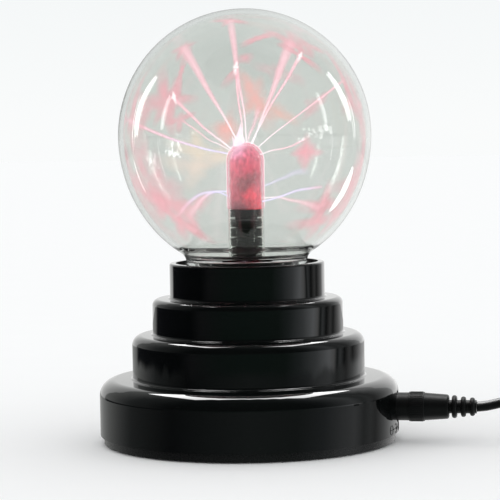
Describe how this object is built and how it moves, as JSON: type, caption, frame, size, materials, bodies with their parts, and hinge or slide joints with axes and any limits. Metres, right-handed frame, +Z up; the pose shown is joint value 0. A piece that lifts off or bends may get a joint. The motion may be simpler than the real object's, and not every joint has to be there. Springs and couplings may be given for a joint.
{
  "type": "plasma ball",
  "caption": "Desk plasma ball: a clear glass globe with a central electrode on a stepped gloss black base, with its driver board, slide switch and plug-in supply lead.",
  "frame": {"origin": "centre of the base on the surface that it stands on", "axes": "+Z up through the electrode and the top of the globe, +X out through the power socket"},
  "size_m": [0.207, 0.0971, 0.137],
  "materials": {
    "black_gloss": "high gloss",
    "black_matt": "fine texture",
    "screw_steel": "zinc plated",
    "foot_rubber": "matt",
    "globe_glass": "clear",
    "grey_silicone": "matt",
    "clear_glue": "cloudy clear",
    "glowing_wool": "lit fine fibres",
    "spacer_plastic": "satin",
    "red_silicone": "satin",
    "board_laminate": "satin",
    "ferrite": "fine grain",
    "white_nylon": "satin",
    "winding_tape": "satin tape",
    "part_epoxy": "fine texture",
    "sink_aluminium": "mill finish",
    "sleeve_blue": "shrink sleeve",
    "resistor_tan": "lacquer",
    "capacitor_red": "dipped",
    "can_aluminium": "satin",
    "contact_metal": "plated",
    "tinned_metal": "tinned",
    "can_steel": "folded sheet",
    "knob_plastic": "satin",
    "lead_pvc": "satin",
    "plug_nickel": "nickel plated",
    "tie_plastic": "satin"
  },
  "bodies": {
    "root": {"base_shell": "black_gloss", "base_plate": "black_matt", "plate_screws": "screw_steel", "rubber_feet": "foot_rubber", "glass_globe": "globe_glass", "glass_stem": "globe_glass", "globe_gasket": "grey_silicone", "adhesive_bead": "clear_glue", "steel_wool": "glowing_wool", "electrode_spacer": "spacer_plastic", "hv_lead": "red_silicone", "stem_insulator": "spacer_plastic", "circuit_board": "board_laminate", "board_screws": "screw_steel", "transformer_core": "ferrite", "transformer_bobbin": "white_nylon", "transformer_winding": "winding_tape", "power_transistor": "part_epoxy", "heatsink": "sink_aluminium", "heatsink_screw": "screw_steel", "smoothing_capacitor": "sleeve_blue", "resistors": "resistor_tan", "film_capacitors": "capacitor_red", "control_chip": "part_epoxy", "microphone": "can_aluminium", "jack_body": "part_epoxy", "jack_pin": "contact_metal", "jack_contacts": "tinned_metal", "switch_case": "can_steel", "switch_terminals": "tinned_metal"},
    "switch_slider": {"switch_knob": "knob_plastic", "switch_wiper": "contact_metal"},
    "supply_lead": {"plug_overmould": "lead_pvc", "plug_barrel": "plug_nickel", "plug_insulator": "white_nylon", "plug_contact": "contact_metal", "power_cord": "lead_pvc", "cord_coil": "lead_pvc", "cord_tail": "lead_pvc", "cord_tie": "tie_plastic", "usb_overmould": "lead_pvc", "usb_shell": "plug_nickel", "usb_tongue": "white_nylon", "usb_contacts": "contact_metal"}
  },
  "joints": [
    {"name": "switch_slide", "type": "slide", "parent": "root", "child": "switch_slider", "axis": [-0.3746, 0.9272, 0], "range_m": [-0.002, 0.002]},
    {"name": "plug_pull", "type": "slide", "parent": "root", "child": "supply_lead", "axis": [1, 0, 0], "range_m": [0, 0.012]}
  ]
}
